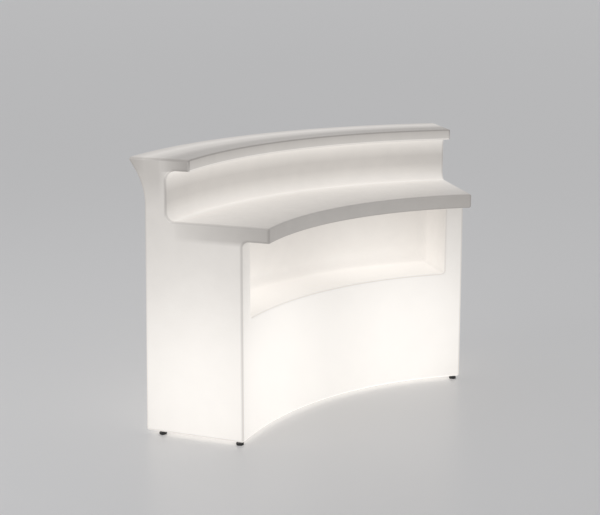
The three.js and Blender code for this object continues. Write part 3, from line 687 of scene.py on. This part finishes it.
def build_shell():
    """Hollow moulding with its niche, its lamp recesses and its bosses and holes."""
    cavity = link("cavity", skin_mesh(WALL, "cavity"))
    combine(cavity, bosses(), "DIFFERENCE")
    cavity.data.flip_normals()
    moulding = bmesh.new()
    moulding.from_mesh(skin_mesh(0.0, "outside"))
    moulding.from_mesh(cavity.data)
    mesh = bpy.data.meshes.new("shell_moulding")
    moulding.to_mesh(mesh)
    moulding.free()
    bpy.data.objects.remove(cavity)
    obj = link("shell_moulding", mesh)
    combine(obj, holes(), "DIFFERENCE")
    weld(obj.data)
    relight(obj.data)
    return obj


def shade_smooth(obj):
    """Smooth shading that breaks at sharp edges."""
    obj.data.shade_smooth()
    obj.data.set_sharp_from_angle(angle=SMOOTH_BELOW)


class Nodes:
    """Short way to make and join a material's nodes."""

    def __init__(self, name):
        self.material = bpy.data.materials.new(name)
        self.material.use_nodes = True
        self.tree = self.material.node_tree
        self.shader = next(n for n in self.tree.nodes if n.type == "BSDF_PRINCIPLED")

    def add(self, kind, **settings):
        node = self.tree.nodes.new(kind)
        for key, value in settings.items():
            setattr(node, key, value)
        return node

    def join(self, out, into):
        self.tree.links.new(out, into)

    def math(self, operation, a, b=None):
        node = self.add("ShaderNodeMath", operation=operation)
        for socket, value in zip(node.inputs, (a, b)):
            if value is None:
                continue
            if isinstance(value, (int, float)):
                socket.default_value = value
            else:
                self.join(value, socket)
        return node.outputs[0]

    def place(self):
        return self.add("ShaderNodeTexCoord").outputs["Object"]

    def noise(self, scale, detail=2.0, roughness=0.5):
        node = self.add("ShaderNodeTexNoise")
        node.inputs["Scale"].default_value = scale
        node.inputs["Detail"].default_value = detail
        node.inputs["Roughness"].default_value = roughness
        self.join(self.place(), node.inputs["Vector"])
        return node.outputs["Fac"]

    def ramp(self, value, low, high):
        """Value from 0 to 1, made to run from low to high."""
        return self.span(value, 0.0, 1.0, low, high)

    def span(self, value, a, b, low, high):
        """Low where the value is a, high where it is b, and even steps between."""
        node = self.add("ShaderNodeMapRange")
        for name, number in (("From Min", a), ("From Max", b), ("To Min", low), ("To Max", high)):
            node.inputs[name].default_value = number
        self.join(value, node.inputs["Value"])
        return node.outputs["Result"]

    def mix(self, value, a, b):
        """Colour between a and b."""
        node = self.add("ShaderNodeMix", data_type="RGBA")
        node.inputs[6].default_value = (*a, 1.0)
        node.inputs[7].default_value = (*b, 1.0)
        self.join(value, node.inputs[0])
        return node.outputs[2]

    def bump(self, height, strength, distance):
        node = self.add("ShaderNodeBump")
        node.inputs["Strength"].default_value = strength
        node.inputs["Distance"].default_value = distance
        self.join(height, node.inputs["Height"])
        self.join(node.outputs["Normal"], self.shader.inputs["Normal"])


def lamp_share(n, place, side):
    """How much of one lamp's painted glow reaches a place, from 1 beside the lamp down to 0."""
    node = n.add("ShaderNodeVectorMath", operation="DISTANCE")
    lamp = on_arc(LAMP_RADIUS, LAMP_HEIGHT, side * LAMP_ANGLE)
    n.join(place, node.inputs[0])
    node.inputs[1].default_value = lamp
    far = n.math("POWER", n.math("DIVIDE", node.outputs["Value"], GLOW_REACH), GLOW_FALL)
    return n.math("DIVIDE", 1.0, n.math("ADD", far, 1.0))


def tip_share(n, radius, height, tip):
    """Share of the hollow's painted glow that gets to a place in a thin part, and 1 away from it."""
    light, (start, full, end), low, high, blend = tip
    along = n.math("POWER", n.span(radius, full, end, 1.0, 0.0), TIP_CURVE)
    along = n.math("MULTIPLY", along, n.span(radius, start, full, 0.0, 1.0 - light))
    above = n.span(height, low - blend, low, 0.0, 1.0)
    below = n.span(height, high + TIP_BLEND / 4, high + TIP_BLEND, 1.0, 0.0)
    return n.math("SUBTRACT", 1.0, n.math("MULTIPLY", along, n.math("MULTIPLY", above, below)))


def tips(n, place):
    """Share of the hollow's painted glow that the thin parts let through."""
    parts = n.add("ShaderNodeSeparateXYZ")
    n.join(place, parts.inputs[0])
    depth = n.math("ADD", parts.outputs["Y"], AXIS)
    squares = n.math("ADD", n.math("POWER", parts.outputs["X"], 2.0), n.math("POWER", depth, 2.0))
    radius = n.math("SQRT", squares)
    kept = 1.0
    for tip in TIPS:
        kept = n.math("MULTIPLY", kept, tip_share(n, radius, parts.outputs["Z"], tip))
    return kept


def shell_plastic():
    """Satin translucent polyethylene with a painted glow: an emission by place stands in for the two lamps'
    light from inside, with painted shade at thin parts and rims.
    """
    n = Nodes("shell_polyethylene")
    place = n.place()
    # Painted glow: emission that falls off with the distance from each lamp
    dark = [n.math("SUBTRACT", 1.0, lamp_share(n, place, side)) for side in (-1, 1)]
    painted_lamp_glow = n.math("SUBTRACT", 1.0, n.math("MULTIPLY", *dark))
    # Painted shade at small rounds and the niche's mouth, taken off both the glow and the colour
    rim = n.add("ShaderNodeAttribute", attribute_name="rim").outputs["Fac"]
    kept = n.math("SUBTRACT", 1.0, n.math("MULTIPLY", rim, PAINTED_RIM_SHADE))
    cloud = n.ramp(n.noise(CLOUDS, 3.0), CLOUD_LOW, CLOUD_HIGH)
    # Painted glow that spreads through the hollow, less in the thin parts
    hollow = n.add("ShaderNodeAttribute", attribute_name="hollow").outputs["Fac"]
    hollow = n.math("MULTIPLY", hollow, tips(n, place))
    straight = n.math("MULTIPLY", painted_lamp_glow, GLOW_STRENGTH)
    light = n.math("ADD", straight, n.math("MULTIPLY", hollow, HOLLOW_STRENGTH))
    strength = n.math("MULTIPLY", n.math("MULTIPLY", light, kept), cloud)
    n.join(strength, n.shader.inputs["Emission Strength"])
    n.shader.inputs["Emission Color"].default_value = (*GLOW_TINT, 1.0)
    # Colour varies at random, and the rims' painted shade darkens it
    shade = n.math("MULTIPLY", n.noise(SHADES, 4.0), kept)
    n.join(n.mix(shade, SHELL_DARK, SHELL_PALE), n.shader.inputs["Base Color"])
    n.join(n.ramp(n.noise(GLOSS_PATCHES, 3.0), GLOSSY, DULL), n.shader.inputs["Roughness"])
    n.bump(n.noise(ORANGE_PEEL, 3.0), PEEL_STRENGTH, PEEL_DEPTH)
    return n.material


def speckled(name, dark, light, roughness, grain=GRAIN, metallic=0.0, relief=0.1):
    """Plain material with a fine grain in its colour, gloss and surface."""
    n = Nodes(name)
    grains = n.noise(grain, 3.0)
    n.join(n.mix(grains, dark, light), n.shader.inputs["Base Color"])
    gloss = n.ramp(n.noise(grain / 4, 2.0), roughness - GLOSS_SPREAD, roughness + GLOSS_SPREAD)
    n.join(gloss, n.shader.inputs["Roughness"])
    n.shader.inputs["Metallic"].default_value = metallic
    n.bump(grains, relief, GRAIN_DEPTH)
    return n.material


def threaded(name, dark, light, roughness, pitch):
    """Turned metal with level rings as wide as a thread's pitch."""
    n = Nodes(name)
    wave = n.add("ShaderNodeTexWave", bands_direction="Z")
    wave.inputs["Scale"].default_value = RING_SCALE / pitch
    n.join(n.place(), wave.inputs["Vector"])
    n.join(n.mix(wave.outputs["Fac"], dark, light), n.shader.inputs["Base Color"])
    gloss = n.ramp(n.noise(RING_GLOSS_PATCHES), roughness - RING_GLOSSY, roughness + RING_DULL)
    n.join(gloss, n.shader.inputs["Roughness"])
    n.shader.inputs["Metallic"].default_value = 1.0
    n.bump(wave.outputs["Fac"], RING_STRENGTH, RING_DEPTH)
    return n.material


def opal_glass():
    """Lit opal glass."""
    glass = speckled("opal_glass", (0.9, 0.88, 0.83), (0.94, 0.92, 0.88), 0.25, 80.0, relief=0.02)
    shader = next(node for node in glass.node_tree.nodes if node.type == "BSDF_PRINCIPLED")
    shader.inputs["Emission Color"].default_value = (*OPAL_TINT, 1.0)
    shader.inputs["Emission Strength"].default_value = OPAL_STRENGTH
    return glass


def finishes():
    """Material of each kind of piece, by a word in the piece's name."""
    steel = speckled("zinc_steel", (0.5, 0.51, 0.53), (0.66, 0.67, 0.68), 0.34, 400.0, 1.0, 0.03)
    ceramic = speckled("glazed_ceramic", (0.8, 0.78, 0.72), (0.86, 0.84, 0.79), 0.22, 120.0, 0.0, 0.03)
    return {
        "foot_pad": speckled("foot_rubbery_plastic", (0.016, 0.016, 0.017), (0.034, 0.034, 0.036), 0.62),
        "foot_stem": steel,
        "foot_insert": threaded("turned_brass", (0.6, 0.42, 0.15), (0.76, 0.57, 0.25), 0.32, 0.002),
        "lamp_cover": speckled("cover_plastic", (0.66, 0.65, 0.62), (0.74, 0.73, 0.7), 0.5, 200.0),
        "gasket": speckled("gasket_rubber", (0.012, 0.012, 0.013), (0.026, 0.026, 0.027), 0.85),
        "screw": steel,
        "lampholder": ceramic,
        "lamp_cap": threaded("cap_metal", (0.56, 0.56, 0.57), (0.7, 0.7, 0.71), 0.3, 0.0036),
        "lamp_globe": opal_glass(),
        "gland": speckled("gland_plastic", (0.085, 0.09, 0.095), (0.125, 0.13, 0.138), 0.55),
        "terminal_block": speckled("block_plastic", (0.72, 0.68, 0.56), (0.8, 0.76, 0.65), 0.5),
        "holder_lead": speckled("lead_sheath", (0.6, 0.6, 0.58), (0.7, 0.7, 0.68), 0.58),
    }


def paint(nodes):
    """Gives every CAD piece that stays in the scene its own finish."""
    kinds = finishes()
    for name, obj in nodes.items():
        if name == "shell":
            continue
        kind = next(k for k in kinds if k in name)
        obj.data.materials.clear()
        obj.data.materials.append(kinds[kind])
    return kinds


def foot_pad(place):
    """Round pad with grip flutes round its rim, and the socket that holds the stem."""
    middle = centre_of(f"{place}_foot_pad")
    bore = STEM_RADIUS + FIT
    skin = Skin()
    profile = PAD_PROFILE + [(bore, PAD_HEIGHT), (bore, PAD_SOCKET_FLOOR), (0.0, PAD_SOCKET_FLOOR)]
    rows = []
    for radius, z in profile:
        row = []
        for k in range(BROAD_SIDES):
            a = 2 * math.pi * k / BROAD_SIDES
            flute = GRIP_DEPTH * (0.5 - 0.5 * math.cos(a * PAD_GRIPS)) if radius > GRIPS_OUTSIDE else 0.0
            r = radius - flute
            row.append(skin.add(Vector((middle.x + r * math.cos(a), middle.y + r * math.sin(a), z))))
        rows.append(row + row[:1])
    for a, b in zip(rows, rows[1:]):
        skin.strip(a, b)
    obj = link(f"{place}_pad", skin.mesh(f"{place}_pad"))
    shade_smooth(obj)
    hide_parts(f"{place}_foot_pad")
    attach(obj, f"{place}_foot")
    return obj


def thread_radius(turns, from_end):
    """Radius of the thread so many turns up its helix, drawn in at the stem's ends."""
    phase = turns % 1.0
    for (low, a), (high, b) in zip(THREAD_FORM, THREAD_FORM[1:]):
        if phase <= high:
            crest = between(a, b, share(phase, low, high))
            break
    return min(STEM_RADIUS - THREAD_DEPTH * (1.0 - crest), STEM_TIP + from_end)


def foot_stem(place):
    """Threaded stem, its rows wound round with the helix of its thread."""
    low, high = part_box(f"{place}_foot_stem")
    middle = (low + high) / 2
    skin = Skin()
    count = math.ceil((high.z - low.z) / THREAD_PITCH) + 1
    phases = [turn + phase for turn in range(-1, count) for phase, _ in THREAD_FORM[:-1]]
    before = None
    for k in range(SMALL_SIDES + 1):
        wound = k / SMALL_SIDES
        a = 2 * math.pi * wound
        column = [skin.add(Vector((middle.x, middle.y, low.z)))]
        for turns in phases:
            z = min(max(low.z + (turns + wound) * THREAD_PITCH, low.z), high.z)
            r = thread_radius((z - low.z) / THREAD_PITCH - wound, min(z - low.z, high.z - z))
            column.append(skin.add(Vector((middle.x + r * math.cos(a), middle.y + r * math.sin(a), z))))
        column.append(skin.add(Vector((middle.x, middle.y, high.z))))
        if before:
            skin.strip(before, column)
        before = column
    obj = link(f"{place}_stem", skin.mesh(f"{place}_stem"))
    shade_smooth(obj)
    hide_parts(f"{place}_foot_stem")
    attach(obj, f"{place}_foot")
    return obj


def cover_profile(low, top):
    """Section of a lamp cover: plate with a softened rim, and the hollow plinth in its middle."""
    inner = PLINTH_RADIUS - COVER_THICKNESS
    roof = top - COVER_THICKNESS
    upper = low + COVER_THICKNESS
    return [
        (0.0, roof),
        (inner - PLINTH_TAPER, roof),
        (inner, low + COVER_EDGE),
        (inner + COVER_EDGE, low),
        (COVER_RADIUS - COVER_EDGE, low),
        (COVER_RADIUS, low + COVER_EDGE),
        (COVER_RADIUS, upper - COVER_EDGE / 2),
        (COVER_RADIUS - COVER_EDGE / 2, upper),
        (PLINTH_RADIUS, upper),
        (PLINTH_RADIUS - PLINTH_TAPER, top),
        (0.0, top),
    ]


def lamp_cover(side):
    """Round cover with its plinth, blind bosses for the holder's screws, and its holes."""
    low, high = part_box(f"{side}_lamp_cover")
    through = (low.z - WALL, low.z + 2 * WALL)
    plate, studs, cuts = Skin(), Skin(), Skin()
    turning(plate, centre_of(f"{side}_lamp_cover"), cover_profile(low.z, high.z), BROAD_SIDES)
    for k in HOLDER_SCREWS:
        node = f"{side}_holder_screw_{k}"
        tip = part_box(node)[0].z - FIT
        stud = drum(SCREW_HOLE + SCREW_BOSS_WALL / 2, tip - SCREW_BOSS_WALL, high.z - COVER_THICKNESS / 2)
        turning(studs, centre_of(node), stud, FINE_SIDES)
        turning(cuts, centre_of(node), drum(SCREW_HOLE, tip, high.z + WALL), FINE_SIDES)
    for k in COVER_SCREWS:
        turning(cuts, centre_of(f"{side}_cover_screw_{k}"), drum(SCREW_HOLE, *through), FINE_SIDES)
    turning(cuts, centre_of(f"{side}_gland_body"), drum(GLAND_HOLE, *through), SMALL_SIDES)
    obj = link(f"{side}_cover", plate.mesh(f"{side}_cover"))
    combine(obj, link("studs", studs.mesh("studs")), "UNION")
    combine(obj, link("cuts", cuts.mesh("cuts")), "DIFFERENCE")
    shade_smooth(obj)
    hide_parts(f"{side}_lamp_cover")
    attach(obj, "counter")
    return obj


def floor():
    """Plain pale studio floor with a soft sheen."""
    bm = bmesh.new()
    bmesh.ops.create_grid(bm, x_segments=1, y_segments=1, size=FLOOR_SIZE / 2)
    mesh = bpy.data.meshes.new("floor")
    bm.to_mesh(mesh)
    bm.free()
    obj = link("floor", mesh)
    n = Nodes("floor")
    n.shader.inputs["Base Color"].default_value = (*FLOOR_GREY, 1.0)
    n.shader.inputs["Roughness"].default_value = FLOOR_ROUGHNESS
    mesh.materials.append(n.material)


def soft_light(name, place, aim, size, power):
    """Square area light at a place, turned towards its aim."""
    data = bpy.data.lights.new(name, "AREA")
    data.shape = "SQUARE"
    data.size = size
    data.energy = power
    obj = bpy.data.objects.new(name, data)
    bpy.context.scene.collection.objects.link(obj)
    obj.location = place
    obj.rotation_euler = (Vector(aim) - Vector(place)).to_track_quat("-Z", "Y").to_euler()


def studio():
    """Even grey surroundings with a large light overhead and a weaker one at the left."""
    world = bpy.data.worlds.new("studio")
    world.use_nodes = True
    background = next(n for n in world.node_tree.nodes if n.type == "BACKGROUND")
    background.inputs["Color"].default_value = (*WORLD_GREY, 1.0)
    background.inputs["Strength"].default_value = 1.0
    bpy.context.scene.world = world
    for light in LIGHTS:
        soft_light(*light)


def camera():
    """The photo's viewpoint."""
    data = bpy.data.cameras.new("camera")
    data.sensor_width = SENSOR
    data.lens = LENS
    data.shift_y = RISE
    data.clip_end = SIGHT
    obj = bpy.data.objects.new("camera", data)
    bpy.context.scene.collection.objects.link(obj)
    obj.location = EYE - Vector((0.0, AXIS, 0.0))
    obj.rotation_euler = (QUARTER - PITCH, 0.0, -YAW)
    bpy.context.scene.camera = obj


bpy.context.scene.view_settings.view_transform = "Standard"
shell = build_shell()
shade_smooth(shell)
shell.data.materials.clear()
shell.data.materials.append(shell_plastic())
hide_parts("shell")
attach(shell, "counter")
kinds = paint(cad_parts)
for place in PLACES:
    foot_pad(place).data.materials.append(kinds["foot_pad"])
    foot_stem(place).data.materials.append(kinds["foot_stem"])
for side in SIDES:
    lamp_cover(side).data.materials.append(kinds["lamp_cover"])
floor()
studio()
camera()
